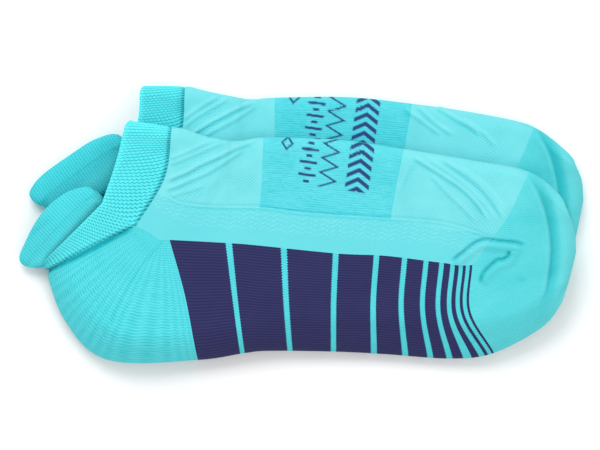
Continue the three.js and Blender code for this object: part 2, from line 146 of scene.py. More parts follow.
def smooth(t):
    """0 up to t = 0, 1 from t = 1, and an even rise between."""
    t = np.clip(t, 0, 1)
    return t * t * (3 - 2 * t)


def ridge(distance, width):
    """1 on a line, falling away on both sides over about the width."""
    return np.exp(-(distance / width) ** 2)


def cubic_weights(f):
    """Weights of four points in a smooth curve, a share f of the way from the second to the third."""
    return (-0.5 * f + f**2 - 0.5 * f**3, 1 - 2.5 * f**2 + 1.5 * f**3,
            0.5 * f + 2 * f**2 - 1.5 * f**3, -0.5 * f**2 + 0.5 * f**3)


def spline_weights(t, count):
    """Weights of `count` points in a smooth curve through them, at each place t (counted in points)."""
    t = np.asarray(t, float)
    i = np.clip(np.floor(t).astype(int), 0, count - 2)
    out = np.zeros(t.shape + (count + 2,))
    for k, w in enumerate(cubic_weights(t - i)):
        np.put_along_axis(out, (i + k)[..., None], w[..., None], -1)
    # The points beyond both ends lie straight on from the last two.
    out[..., 1] += 2 * out[..., 0]
    out[..., 2] -= out[..., 0]
    out[..., count] += 2 * out[..., count + 1]
    out[..., count - 1] -= out[..., count + 1]
    return out[..., 1:count + 1]


def smooth_curve(points, count):
    """A smooth curve through the points, as count new points."""
    points = np.asarray(points, float)
    return spline_weights(np.linspace(0, len(points) - 1, count), len(points)) @ points


def closed_curve(points, count):
    """A smooth closed curve through the points."""
    points = np.asarray(points, float)
    n = len(points)
    t = np.arange(count) / count * n
    i = np.floor(t).astype(int)
    return sum(w[:, None] * points[(i + k) % n] for k, w in zip((-1, 0, 1, 2), cubic_weights(t - i)))


def placed_rings(sock):
    """The rings where the sock lies."""
    c, s = math.cos(math.radians(sock["turn"])), math.sin(math.radians(sock["turn"]))
    x = (RINGS[..., 0] * c - RINGS[..., 1] * s) * sock["shorten"] + sock["shift"][0]
    y = RINGS[..., 0] * s + RINGS[..., 1] * c + sock["shift"][1]
    y = y + np.array(sock["trim"])[:, None] * (1 - np.arange(5) / 4) ** 2
    rings = np.stack([x, y], -1)
    if sock["mouth"]:
        rings[0] = sock["mouth"]
    return rings


def local_xy(sock, xy):
    """Where a point is on the sock before the sock was turned and shifted."""
    c, s = math.cos(math.radians(sock["turn"])), math.sin(math.radians(sock["turn"]))
    x = (xy[..., 0] - sock["shift"][0]) / sock["shorten"]
    y = xy[..., 1] - sock["shift"][1]
    return np.stack([x * c + y * s, -x * s + y * c], -1)


# Each ring's five points and its length are worked out once, at closely spaced stations along the foot.
STATION_STEP = 0.005
STATIONS = np.arange(0, TOE_FOLD + STATION_STEP / 2, STATION_STEP)


def flat_point(sock, u, share):
    """Point of the flat sock at station u, a share of the way from the instep fold to the sole fold."""
    u, share = np.broadcast_arrays(np.asarray(u, float), np.asarray(share, float))
    place = np.clip(u, 0, TOE_FOLD) / STATION_STEP
    i = np.minimum(place.astype(int), len(STATIONS) - 2)
    f = (place - i)[..., None, None]
    ring = sock["ring_table"][i] * (1 - f) + sock["ring_table"][i + 1] * f
    sole = share >= SOLE_LINE
    half = np.where(sole[..., None, None], ring[..., 2:, :], ring[..., :3, :])
    weights = spline_weights(share * 4 - np.where(sole, 2, 0), 3)
    return (weights[..., None] * half).sum(-2)


def half_height(x):
    """Half the sock's height, which is fuller at the heel and the toe."""
    def bump(d):
        return smooth(1 - np.abs(d))
    heel = HEEL_EXTRA * bump((x - HEEL_AT) / FULLNESS_REACH)
    toe = TOE_EXTRA * bump((x - TOE_AT) / FULLNESS_REACH)
    return (FLAT_HEIGHT + heel + toe) / 2


def tab_point(sock, along, out):
    """A point of the heel tab's drawing, placed: along its fold line and out from it."""
    start, end = np.array(sock["tab_fold"])
    c, s = (end - start) / np.hypot(*(end - start))
    return np.stack([start[0] + along * c + out * s, start[1] + along * s - out * c], -1)


def inside_distance(outline, points):
    """Distance of each point from a closed outline, positive inside it."""
    nearest = np.full(len(points), np.inf)
    inside = np.zeros(len(points), bool)
    for (ax, ay), (bx, by) in zip(outline, np.roll(outline, -1, 0)):
        span = (bx - ax) ** 2 + (by - ay) ** 2
        if span == 0:
            continue
        t = np.clip(((points[:, 0] - ax) * (bx - ax) + (points[:, 1] - ay) * (by - ay)) / span, 0, 1)
        d = np.hypot(points[:, 0] - ax - t * (bx - ax), points[:, 1] - ay - t * (by - ay))
        nearest = np.minimum(nearest, d)
        crosses = (ay > points[:, 1]) != (by > points[:, 1])
        with np.errstate(divide="ignore", invalid="ignore"):
            left = points[:, 0] < ax + (points[:, 1] - ay) * (bx - ax) / (by - ay)
        inside ^= crosses & left
    return np.where(inside, nearest, -nearest)


def outline_of(sock):
    """The outline of a sock without its tab."""
    ends = np.arange(96) / 96
    return np.concatenate([
        flat_point(sock, TOE_FOLD * ends, 0),
        flat_point(sock, TOE_FOLD, np.arange(12) / 12),
        flat_point(sock, TOE_FOLD * (1 - ends), 1),
        flat_point(sock, 0, 1 - np.arange(16) / 16),
    ])


for name, sock in SOCKS.items():
    sock["name"] = name
    sock["rings"] = placed_rings(sock)
    table = spline_weights(STATIONS, len(RINGS)) @ sock["rings"].reshape(len(RINGS), -1)
    sock["ring_table"] = table.reshape(-1, 5, 2)
    crossing = flat_point(sock, STATIONS[:, None], np.linspace(0, 1, 9))
    sock["ring_length"] = np.hypot(*np.moveaxis(np.diff(crossing, axis=1), -1, 0)).sum(-1)

# The CAD centres the pair; the same shift is found from the toe tip and the top of the back sock's mouth.
SHIFT = np.array([
    flat_point(SOCKS["bottom"], TOE_FOLD, np.linspace(0, 1, 60))[:, 0].max() - cad_box[1][0] / MM,
    SOCKS["bottom"]["rings"][0][0][1] - cad_box[1][1] / MM,
])

# How high the front sock is lifted by the back one, on a grid of points 1 mm apart.
GRID_LOW = np.array([-140.0, -80.0])
GRID_SIZE = (285, 160)


def drape_grid():
    """The lift is the back sock's height under the front one, and falls away smoothly beyond its outline."""
    points = np.stack(np.indices(GRID_SIZE), -1).reshape(-1, 2) + GRID_LOW
    back = SOCKS["bottom"]
    lobe = closed_curve(back["tab_lobe"], 40)
    inside = np.maximum(inside_distance(outline_of(back), points),
                        inside_distance(tab_point(back, lobe[:, 0], lobe[:, 1]), points))
    under = 2 * half_height(points[:, 0] - back["shift"][0])
    lift = REST_GAP + under * smooth((inside + DRAPE_REACH) / (DRAPE_REACH - DRAPE_START))
    return lift.reshape(GRID_SIZE)


LIFT = drape_grid()


def drape(sock, xy):
    """How high the sock is lifted at each place."""
    if sock["name"] == "bottom":
        return np.zeros(xy.shape[:-1])
    place = xy - GRID_LOW
    i = np.floor(place).astype(int)
    f = place - i
    i = np.clip(i, 1, np.array(GRID_SIZE) - 3)
    total = 0
    for a, x_weight in enumerate(cubic_weights(f[..., 0]), -1):
        for b, y_weight in enumerate(cubic_weights(f[..., 1]), -1):
            total = total + x_weight * y_weight * LIFT[i[..., 0] + a, i[..., 1] + b]
    return total


# ------------------------------------------------------------------ the wall's surface
def share_of(v):
    """v runs 0 to 1 over the upper side, from instep fold to sole fold, and 1 to 2 back underneath."""
    return np.minimum(np.mod(v, 2), 2 - np.mod(v, 2))


def respread(v, start, end):
    """v with the folds' part of each side changed from start to end."""
    base = 2 * np.round(v / 2)
    d = v - base
    return base + np.sign(d) * np.interp(np.abs(d), [0, start, 1 - start, 1], [0, end, 1 - end, 1])


def wall_point(sock, u, v, depth=0.0):
    """Points of the wall at a depth under its outer face."""
    u, v = np.broadcast_arrays(np.asarray(u, float), np.asarray(v, float))
    share = share_of(v)
    side = np.where(np.mod(v, 2) > 1, -1.0, 1.0)
    at = u - depth * TOE_SET_BACK * np.clip(u - (TOE_FOLD - 1), 0, 1)
    length = np.interp(at, STATIONS, sock["ring_length"])
    radius = np.minimum(EDGE_RADIUS, length * NARROW_RADIUS)
    from_edge = np.minimum(share, 1 - share)
    angle = np.clip(from_edge / FOLD_SHARE, 0, 1) * math.pi / 2
    curved = depth + (radius - depth) * (1 - np.cos(angle))
    flat = radius + (share - FOLD_SHARE) / (1 - 2 * FOLD_SHARE) * (length - 2 * radius)
    along = np.where(share < FOLD_SHARE, curved, np.where(share > 1 - FOLD_SHARE, length - curved, flat))
    xy = flat_point(sock, at, along / length)
    beyond = np.clip((u - (TOE_FOLD - TOE_ROUNDING)) / TOE_ROUNDING, 0, 1)
    rounding = np.sqrt(np.maximum(0, 1 - beyond**2))
    half = half_height(xy[..., 0] - (sock["shift"][0] if sock["name"] == "bottom" else 0))
    z = half + side * (half - depth) * np.sin(angle) * rounding + drape(sock, xy)
    return np.concatenate([xy, z[..., None]], -1)


def line_distance(curve, xy):
    """Signed distance from each point to a line (left of it positive) and the share of the way along it."""
    seg = np.diff(curve, axis=0)
    lengths = np.hypot(seg[:, 0], seg[:, 1])
    starts = np.concatenate([[0], np.cumsum(lengths)[:-1]])
    best = np.full(xy.shape[:-1], np.inf)
    side = np.ones(xy.shape[:-1])
    along = np.zeros(xy.shape[:-1])
    for (ax, ay), (dx, dy), length, start in zip(curve[:-1], seg, lengths, starts):
        t = np.clip(((xy[..., 0] - ax) * dx + (xy[..., 1] - ay) * dy) / length**2, 0, 1)
        ox, oy = xy[..., 0] - ax - t * dx, xy[..., 1] - ay - t * dy
        d = np.hypot(ox, oy)
        near = d < best
        best = np.where(near, d, best)
        side = np.where(near, np.sign(dx * oy - dy * ox), side)
        along = np.where(near, (start + t * length) / lengths.sum(), along)
    return best * side, along


# ------------------------------------------------------------------ creases and raised lines
# Points in mm on the flat sock.
TOE_CREASE = smooth_curve([[65.5, -16.5], [70.8, -12.1], [78.7, -6.6], [88, -7.0], [94.6, -7.7],
                           [99.6, -9.7]], 24)
TOE_TUCK = smooth_curve([[91.3, -11], [90.6, -13.6], [88, -15.1], [85.8, -15.4], [81.4, -19.3], [79.2, -22.5],
                         [78.3, -27]], 24)
TOE_GROOVE = smooth_curve([[97.5, 26], [102.5, 18.8], [106.3, 11.5], [109.3, 2.2], [110.7, -8.8],
                           [110, -19.8], [107.8, -30.8], [103.4, -39.6]], 30)
TOE_DIMPLE = smooth_curve([[94, -24], [99, -25]], 4)
CUFF_CREASE = smooth_curve([[-71.5, -0.6], [-82, -6], [-92, -11.2], [-102, -16.2], [-112.5, -21]], 20)
GORE_LINE = smooth_curve([[-59.5, -7], [-70.5, -20.2], [-79, -34], [-82.7, -46.9]], 16)
WELT_LINE = smooth_curve([[-59.4, 13.2], [-52.4, 9.7], [-38.3, 7.9], [-16.7, 7.5], [0, 5.2], [26.4, 3.5],
                          [54.6, 1.8], [66.2, 0], [77.9, -3.5], [84, -6.2]], 40)
WELT_GAP = 0.8                 # from the middle of the welt to each of its two lines


def faded(along, start, end):
    """1 on a line, falling to 0 over the given shares of it at its two ends."""
    return smooth(along / start) * smooth((1 - along) / end)


def crease(xy, curve, deep, width, fade, lip=0.0, lip_off=3.0):
    """Height of a crease along a curve, with an optional swelling beside it, and the painted shade along it.
    """
    d, along = line_distance(curve, xy)
    ends = faded(along, *fade)
    height = ends * (lip * ridge(d - lip_off, abs(lip_off) * 0.7) - deep * ridge(d, width))
    return height, ends * ridge(d, width)


def relief(sock, xy, share):
    """Height in mm of the folds and knitted lines over the smooth wall, and their painted shade and
    highlights.
    """
    p = local_xy(sock, xy)
    x, y = p[..., 0], p[..., 1]
    height = 0.35 * np.sin(x / 11 + 0.6 * np.sin(y / 17)) * np.sin(y / 13 + 1.3) * smooth(share / 0.1)
    shade = np.zeros(x.shape)

    def add(result, dark):
        nonlocal height, shade
        height = height + result[0]
        shade = shade + dark * result[1]
    # Each crease gets painted shade along its line.
    add(crease(p, TOE_CREASE, deep=1.4, width=0.65, fade=(0.1, 0.12), lip=1.4, lip_off=-2.6), 0.5)
    add(crease(p, TOE_TUCK, deep=1.4, width=0.65, fade=(0.05, 0.15), lip=1.3, lip_off=2.6), 0.5)
    add(crease(p, TOE_DIMPLE, deep=0.6, width=1.6, fade=(0.4, 0.4)), 0.15)
    add(crease(p, CUFF_CREASE, deep=2.0, width=0.95, fade=(0.15, 0.01), lip=-0.5), 0.85)
    add(crease(p, GORE_LINE, deep=0.25, width=0.6, fade=(0.1, 0.1)), 0.12)
    # The toe cap's dome ends in a step along the groove, and the rim beyond it rises again towards the fold.
    d, along = line_distance(TOE_GROOVE, p)
    ends = faded(along, 0.3, 0.3)
    valley = np.where(d > 0, np.exp(-d / 2.2), ridge(d, 1.3))
    rim = smooth((d - 1.5) / 3.0)
    height = height + ends * (0.6 * ridge(d + 2.8, 1.6) - 1.7 * valley + 0.5 * rim)
    # Painted shade in the groove's valley, painted highlights on the dome's edge beside it and on the rim.
    shade = shade + ends * (0.55 * valley - 0.2 * ridge(d + 2.0, 1.0) - 0.4 * rim)
    # The mesh panel's welt is a pair of sunk lines in painted shade, with a painted highlight on the row
    # between them.
    d, along = line_distance(WELT_LINE, p)
    ends = faded(along, 0.05, 0.05)
    sunk = ridge(d - WELT_GAP, 0.5) + ridge(d + WELT_GAP, 0.5)
    height = height - 0.25 * ends * sunk
    shade = shade + ends * (0.3 * sunk - 0.25 * ridge(d, 0.5))
    # The instep fold catches the light.
    shade = shade - 0.22 * ridge(share, 0.022)
    near = share < PANEL_LINE + 0.02
    # Each furrow of the mesh panels gets painted shade on one side and a painted highlight on the other.
    for points, strength in sock["furrows"]:
        d, along = line_distance(smooth_curve(points, 12), xy)
        ends = faded(along, 0.08, 0.15) * near
        height = height + ends * strength * (0.4 * ridge(d - 1.0, 0.9) - 0.2 * ridge(d + 0.3, 0.7))
        shade = shade + ends * strength * (0.3 * ridge(d + 0.3, 0.8) - 0.22 * ridge(d - 1.3, 0.9))
    return height, shade


# ------------------------------------------------------------------ navy marks knitted into the arch band
MARK_TOP = {"bottom": (31.0, 57.2), "top": (28.1, 36.6)}
MARK_LEAN = 0.144
MARK_LENGTH = 22.6
MARK_STROKE = 1.15
MARK_EDGE = 0.3                # mm over which a mark's edge fades


def marks(sock, uu, vv, xy):
    """1 on the navy stitches: a column of chevrons, a zigzag, a ladder of dashes and one small diamond."""
    top = np.array(MARK_TOP[sock["name"]])
    down = np.array([-MARK_LEAN, -1.0]) / math.hypot(MARK_LEAN, 1)
    rel = xy - top
    t = rel @ down                                        # mm down the column
    s = -(rel @ np.array([-down[1], down[0]]))            # mm across it, towards the heel

    def stroke(distance, wide=MARK_STROKE):
        return smooth((wide / 2 - np.abs(distance)) / MARK_EDGE + 0.5)

    def within(value, low, high):
        return smooth((value - low) / MARK_EDGE) * smooth((high - value) / MARK_EDGE)

    def reach(middle, half):
        return within(s, middle - half, middle + half)

    def cycle(value, period):
        return np.mod(value + period / 2, period) - period / 2
    chevrons = stroke(cycle(t - 0.6 * np.abs(s - 0.3) - 0.4, 4.1), 2.0) * reach(0.3, 5.4)
    zig = np.abs(cycle(t, 6.4)) / 1.6 - 1
    zigzag = stroke((s - 13.6 - 3.6 * zig) / 2.3, 0.8)
    rungs = stroke(cycle(t - 1.2, 5.6)) * reach(22.8, 4.0)
    rungs = np.maximum(rungs, stroke(cycle(t - 4.0, 5.6)) * reach(22.8, 1.5))
    diamond = stroke(np.abs(s - 33.2) + 0.85 * np.abs(t - 5.4) - 2.3, 1.1)
    long = np.maximum(np.maximum(chevrons, zigzag), rungs) * within(t, 0.4, MARK_LENGTH)
    return np.maximum(long, diamond * within(t, 0.4, 9)) * (np.mod(vv, 2) <= 1)


# ------------------------------------------------------------------ mesh pieces
UNDERSIDE_RELIEF = 0.6         # folds are flatter where the sock is lain on
LOWEST = 0.02                  # mm over the floor
TOE_FADE = 0.12                # stations over which the relief fades at the toe fold
SHARP_ANGLE = 55


def shell_faces(rows, cols, ring, toe):
    """Faces of a closed shell: an outer and an inner grid, with strips between them along the edges."""
    index = np.arange(rows * cols).reshape(rows, cols)
    wrap = np.roll(index, -1, 1) if ring else index[:, 1:]
    left = index if ring else index[:, :-1]
    a, b, c, d = left[:-1], wrap[:-1], wrap[1:], left[1:]
    off = rows * cols
    faces = [np.stack([a, b, c, d], -1).reshape(-1, 4), np.stack([a, d, c, b], -1).reshape(-1, 4) + off]

    def strip(line, flip):
        p, q = line[:-1], line[1:]
        quad = np.stack([p, q, q + off, p + off], -1)
        faces.append(quad[:, ::-1] if flip else quad)
    strip(np.append(index[0], index[0][0]) if ring else index[0], True)
    if not toe:
        strip(np.append(index[-1], index[-1][0]) if ring else index[-1], False)
    if not ring:
        strip(index[:, 0], False)
        strip(index[:, -1], True)
    faces = np.concatenate(faces)
    if toe:
        # The far end's two halves are the same line, so they share its points.
        mirror = np.arange(2 * off)
        for base in (0, off):
            last = index[-1] + base
            half = len(last) // 2
            mirror[last[::-1][:half]] = last[:half]
        faces = mirror[faces]
    return faces


def grid_piece(name, sock, u, v, wall, knit_width, replaces, slot, material, ring=False, toe=False,
               extra=None, edge=None, shear=None, patterns=None):
    """One closed piece of the wall: an outer and an inner face over the grid u by v, joined round the edge.
    extra gives more height and painted shade, edge moves the ends of the rows, shear slants the knit's wales,
    and patterns give the material more values at the vertices."""
    uu, vv = np.meshgrid(u, v, indexing="ij")
    if edge is not None:
        uu = edge(uu, vv)
    rows, cols = uu.shape
    outer = wall_point(sock, uu, vv)
    inner = wall_point(sock, uu, vv, wall)
    step = 1e-3
    du = wall_point(sock, np.minimum(uu + step, TOE_FOLD - 1e-4), vv) - wall_point(sock, uu - step, vv)
    dv = wall_point(sock, uu, vv + step) - wall_point(sock, uu, vv - step)
    normal = np.cross(dv, du)
    normal /= np.maximum(np.linalg.norm(normal, axis=-1, keepdims=True), 1e-9)
    height, shade = relief(sock, outer[..., :2], share_of(vv))
    if extra is not None:
        more, dark = extra(sock, uu, vv, outer)
        height = height + more
        shade = shade + dark
    # The sock's tone is painted shade over all of it.
    shade = shade + sock["tone"]
    under = np.mod(vv, 2) > 1
    height = np.where(under, height * UNDERSIDE_RELIEF, height)
    if toe:
        height = height * smooth((TOE_FOLD - uu) / TOE_FADE)
    outer = outer + normal * height[..., None]
    outer[..., 2] = np.maximum(outer[..., 2], LOWEST)
    if toe:
        outer[-1, :, :] = wall_point(sock, uu[-1], vv[-1])
    points = np.concatenate([outer.reshape(-1, 3), inner.reshape(-1, 3)])
    points[:, :2] -= SHIFT
    faces = shell_faces(rows, cols, ring, toe)
    across_mm = respread(vv, FOLD_SHARE, FOLD_KNIT) * knit_width
    if shear is not None:
        across_mm = across_mm + shear(uu, vv)
    knit = np.stack([np.broadcast_to(foot_mm(uu), uu.shape), across_mm], -1).reshape(-1, 2)
    # The fold value carries the painted shade, and painted highlights where it is negative.
    values = {"fold": np.clip(shade, -0.5, 1).ravel()}
    for key, pattern in (patterns or {}).items():
        values[key] = pattern(sock, uu, vv, outer[..., :2]).ravel()
    values = {key: np.concatenate([value, value]) for key, value in values.items()}
    piece = finish_piece(name, points, faces, np.concatenate([knit, knit]), values, replaces, material)
    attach(piece, f"{sock['name']}_sock")


def finish_piece(name, points, faces, knit, values, replaces, material):
    """Make the object, with the knit's own coordinates (mm) and other values at its vertices."""
    used = np.unique(faces)
    remap = np.zeros(len(points), int)
    remap[used] = np.arange(len(used))
    quads = [tuple(dict.fromkeys(face)) for face in remap[faces].tolist()]
    mesh = bpy.data.meshes.new(name)
    mesh.from_pydata((points[used] * MM).tolist(), [], [face for face in quads if len(face) > 2])
    mesh.validate()
    layer = mesh.attributes.new("knit", "FLOAT_VECTOR", "POINT")
    flat = np.column_stack([knit[used], np.zeros(len(used))])
    layer.data.foreach_set("vector", flat.astype(np.float32).ravel())
    for key, numbers in values.items():
        attribute = mesh.attributes.new(key, "FLOAT", "POINT")
        attribute.data.foreach_set("value", numbers[used].astype(np.float32))
    mesh.shade_smooth()
    mesh.set_sharp_from_angle(angle=math.radians(SHARP_ANGLE))
    mesh.materials.append(material)
    piece = bpy.data.objects.new(name, mesh)
    bpy.context.scene.collection.objects.link(piece)
    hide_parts(*replaces)
    return piece


def line_length(line):
    """Distance along a line of points, at each of them."""
    return np.concatenate([[0], np.cumsum(np.hypot(*np.diff(line, axis=0).T))])


TRAIL_SHARE = 0.4
FOOT_TRAIL = line_length(flat_point(SOCKS["top"], STATIONS, TRAIL_SHARE))


def foot_mm(u):
    """Distance along the foot, for the knit pattern."""
    return np.interp(u, STATIONS, FOOT_TRAIL)


def stations(sock, u0, u1, step, share=0.5):
    """Places along the foot about step mm apart."""
    length = line_length(flat_point(sock, np.linspace(u0, u1, 60), share))[-1]
    return np.linspace(u0, u1, max(2, int(round(length / step)) + 1))


# ------------------------------------------------------------------ materials
def srgb(r, g, b):
    """A colour given in the screen's 0 to 255, as the shader's linear one."""
    def linear(c):
        c = c / 255
        return c / 12.92 if c <= 0.04045 else ((c + 0.055) / 1.055) ** 2.4
    return (linear(r), linear(g), linear(b), 1.0)


class Nodes:
    """Short ways to add shader nodes."""

    def __init__(self, name):
        self.material = bpy.data.materials.new(name)
        self.material.use_nodes = True
        self.tree = self.material.node_tree
        self.tree.nodes.clear()
        self.output = self.tree.nodes.new("ShaderNodeOutputMaterial")
        self.shader = self.tree.nodes.new("ShaderNodeBsdfPrincipled")
        self.tree.links.new(self.shader.outputs[0], self.output.inputs[0])

    def put(self, socket, value):
        if hasattr(value, "is_linked"):
            self.tree.links.new(value, socket)
        else:
            socket.default_value = value

    def math(self, kind, a, b=0.0, c=0.0, clamp=False):
        node = self.tree.nodes.new("ShaderNodeMath")
        node.operation = kind
        node.use_clamp = clamp
        for socket, value in zip(node.inputs, (a, b, c)):
            self.put(socket, value)
        return node.outputs[0]

    def add(self, a, b):
        return self.math("ADD", a, b)

    def minus(self, a, b):
        return self.math("SUBTRACT", a, b)

    def times(self, a, b):
        return self.math("MULTIPLY", a, b)

    def power(self, a, b):
        return self.math("POWER", a, b)

    def wave(self, value, pitch):
        """0 to 1 and back once every pitch."""
        turned = self.times(value, 2 * math.pi / pitch)
        return self.math("MULTIPLY_ADD", self.math("SINE", turned), 0.5, 0.5)

    def noise(self, along, across, along_size, across_size, detail=2.0, rough=0.5):
        """Noise in patches of about the given sizes, in mm, spread evenly over 0 to 1."""
        place = self.tree.nodes.new("ShaderNodeCombineXYZ")
        self.put(place.inputs[0], self.times(along, 1 / along_size))
        self.put(place.inputs[1], self.times(across, 1 / across_size))
        node = self.tree.nodes.new("ShaderNodeTexNoise")
        self.put(node.inputs["Vector"], place.outputs[0])
        node.inputs["Scale"].default_value = 1.0
        node.inputs["Detail"].default_value = detail
        node.inputs["Roughness"].default_value = rough
        return self.math("MULTIPLY_ADD", node.outputs["Fac"], 2.0, -0.5, clamp=True)

    def mix(self, factor, a, b):
        node = self.tree.nodes.new("ShaderNodeMix")
        node.data_type = "RGBA"
        self.put(node.inputs[0], factor)
        self.put(node.inputs[6], a)
        self.put(node.inputs[7], b)
        return node.outputs[2]

    def attribute(self, name, output):
        node = self.tree.nodes.new("ShaderNodeAttribute")
        node.attribute_name = name
        return node.outputs[output]

    def knit(self):
        """Where a point is in the knit: mm along the foot and mm across it."""
        split = self.tree.nodes.new("ShaderNodeSeparateXYZ")
        self.put(split.inputs[0], self.attribute("knit", "Vector"))
        return split.outputs[0], split.outputs[1]

    def value(self, name):
        return self.attribute(name, "Fac")


NAVY_THREAD = srgb(38, 44, 112)
LOOP_DEPTH = 0.3 * MM


def knit_material(name, light, dark, pattern, fuzz=0.25, patch=0.25, sheen=0.12, marked=False):
    """Knitted fabric: pattern(nodes, along, across) gives the height of its loops, 0 in the gaps to 1 on the
    yarn. Fuzz, soft patches of tone and the folds' painted shade and highlights are laid over it."""
    n = Nodes(name)
    along, across = n.knit()
    height = pattern(n, along, across)
    fine = n.noise(along, across, 0.5, 0.45, 2.0, 0.6)
    tone = n.noise(along, across, 17.0, 11.0, 3.0, 0.6)
    level = n.add(n.times(height, 1 - fuzz), n.times(fine, fuzz))
    level = n.add(level, n.times(n.minus(tone, 0.5), patch))
    # The fold value darkens the level with painted shade, and lightens it with painted highlights where
    # negative.
    level = n.math("SUBTRACT", level, n.value("fold"), clamp=True)
    # The dark colour, in the gaps between the loops, is painted shade.
    colour = n.mix(level, dark, light)
    if marked:
        colour = n.mix(n.times(n.value("mark"), 0.95), colour, NAVY_THREAD)
    n.put(n.shader.inputs["Base Color"], colour)
    n.put(n.shader.inputs["Roughness"], n.math("MULTIPLY_ADD", fine, -0.12, 0.95))
    n.shader.inputs["Specular IOR Level"].default_value = 0.15
    n.shader.inputs["Sheen Weight"].default_value = sheen
    n.shader.inputs["Sheen Roughness"].default_value = 0.5
    n.shader.inputs["Sheen Tint"].default_value = light
    bumped = n.tree.nodes.new("ShaderNodeBump")
    bumped.inputs["Strength"].default_value = 0.8
    bumped.inputs["Distance"].default_value = LOOP_DEPTH
    n.put(bumped.inputs["Height"], n.add(n.times(height, 0.8), n.times(fine, 0.3)))
    n.put(n.shader.inputs["Normal"], bumped.outputs[0])
    return n.material


def plain_knit(wale, course, wale_depth=0.5, course_depth=0.5, lean=1.2, gap=1.0):
    """Rows of V stitches, wale mm wide and course mm long."""
    def pattern(n, along, across):
        ribs = n.wave(across, wale)
        slant = n.times(n.math("PINGPONG", across, wale / 2), lean)
        loops = n.wave(n.add(along, slant), course)
        both = n.add(n.times(ribs, wale_depth), n.times(loops, course_depth))
        return n.power(n.times(both, 1 / (wale_depth + course_depth)), gap)
    return pattern


def cuff_knit(n, along, across):
    """Deep ribs with a line of gaps between them in painted shade, deeper at every stitch and uneven along
    the cuff.
    """
    gap = n.power(n.minus(1.0, n.wave(across, CUFF_PITCH)), 1.8)
    row = n.math("SNAP", n.add(across, CUFF_PITCH / 4), CUFF_PITCH)
    holes = n.wave(n.add(along, n.times(row, 0.62)), 1.75)
    dots = n.value("dots")
    uneven = n.noise(along, across, 5.0, 4.0, 1.0)
    lines = n.times(n.minus(1.0, n.times(dots, 0.9)), n.math("MULTIPLY_ADD", uneven, 0.5, 0.4))
    amount = n.add(lines, n.times(n.power(holes, 2.2), n.math("MULTIPLY_ADD", dots, 1.1, 0.2)))
    return n.math("SUBTRACT", 1.0, n.times(gap, amount), clamp=True)


def open_mesh(n, along, across):
    """Fine holes on crossing slanted lines, clearer in some places than in others."""
    a = n.wave(n.add(along, n.times(across, 0.95)), 1.35)
    b = n.wave(n.minus(along, n.times(across, 1.15)), 1.5)
    clear = n.noise(along, across, 9.0, 9.0, 1.0)
    strength = n.math("MULTIPLY_ADD", clear, 0.65, 0.08)
    return n.math("SUBTRACT", 1.0, n.times(n.power(n.times(a, b), 0.8), strength), clamp=True)


def wavy_tucks(n, along, across):
    """Short slanted tucks of the side panel in wavy rows, which give way to plain knit beside the sole."""
    rows = n.wave(n.add(across, n.wave(along, 6.4)), 1.9)
    dashes = n.wave(n.add(along, n.times(across, 1.5)), 2.6)
    clear = n.noise(along, across, 7.0, 5.0, 1.0)
    tucks = n.times(n.times(rows, dashes), n.math("MULTIPLY_ADD", clear, 0.6, 0.6))
    knitted = n.math("SUBTRACT", 1.0, n.value("plain"), clamp=True)
    return n.math("MULTIPLY_ADD", n.times(tucks, knitted), 0.45, 0.46)


def elastic_rows(n, along, across):
    """Elastic rows of the arch band, uneven from row to row and along each row."""
    rows = n.wave(across, 0.95)
    uneven = n.noise(along, across, 6.0, 0.8, 2.0, 0.6)
    dashes = n.noise(along, across, 1.6, 0.55, 1.0, 0.5)
    return n.add(n.times(rows, 0.3), n.add(n.times(uneven, 0.45), n.times(dashes, 0.25)))


CUFF_PITCH = 1.42
CUFF_RIBS = 117
CUFF_WIDTH = CUFF_RIBS * CUFF_PITCH / 2
CUFF_STEPS = 5                 # grid steps for each rib
FOOT_WIDTH = 97.2
WALE = 1.15
FOLD_STEPS = 17                # extra places round a fold
TOE_STEPS = 15                 # places along the toe's rounded end

# Each knit's second colour is its yarn in painted shade, for the gaps between the loops.
MATERIALS = {
    "cuff": knit_material("CuffRib", srgb(92, 231, 238), srgb(6, 141, 153), cuff_knit,
                          fuzz=0.14, patch=0.15),
    "mesh": knit_material("OpenMesh", srgb(122, 216, 222), srgb(63, 191, 201), open_mesh,
                          fuzz=0.15, patch=0.12),
    "band": knit_material("ArchRib", srgb(110, 221, 227), srgb(40, 184, 199), elastic_rows,
                          fuzz=0.15, patch=0.22, marked=True),
    "vent": knit_material("WavyVent", srgb(128, 220, 226), srgb(64, 194, 204), wavy_tucks,
                          fuzz=0.2, patch=0.12),
    "heel": knit_material("HeelTerry", srgb(103, 224, 231), srgb(35, 186, 197),
                          plain_knit(0.95, 0.9, 0.4, 0.5, gap=0.8), fuzz=0.35, patch=0.2),
    "toe": knit_material("ToeTerry", srgb(112, 225, 231), srgb(46, 193, 202),
                         plain_knit(WALE, 0.8, 0.4, 0.5, gap=0.8), fuzz=0.35, patch=0.25),
    "seam": knit_material("LinkedSeam", srgb(112, 225, 231), srgb(46, 193, 202),
                          plain_knit(WALE, 0.9, 0.3, 0.6, gap=0.7)),
    "tab": knit_material("TabPlush", srgb(98, 228, 235), srgb(25, 182, 195),
                         plain_knit(1.3, 1.0, 0.5, 0.6, gap=1.0), fuzz=0.3, patch=0.15),
    "navy": knit_material("NavyTerry", srgb(58, 57, 105), srgb(32, 35, 76),
                          plain_knit(WALE, 0.75, 0.6, 0.3), patch=0.15, sheen=0.06),
}


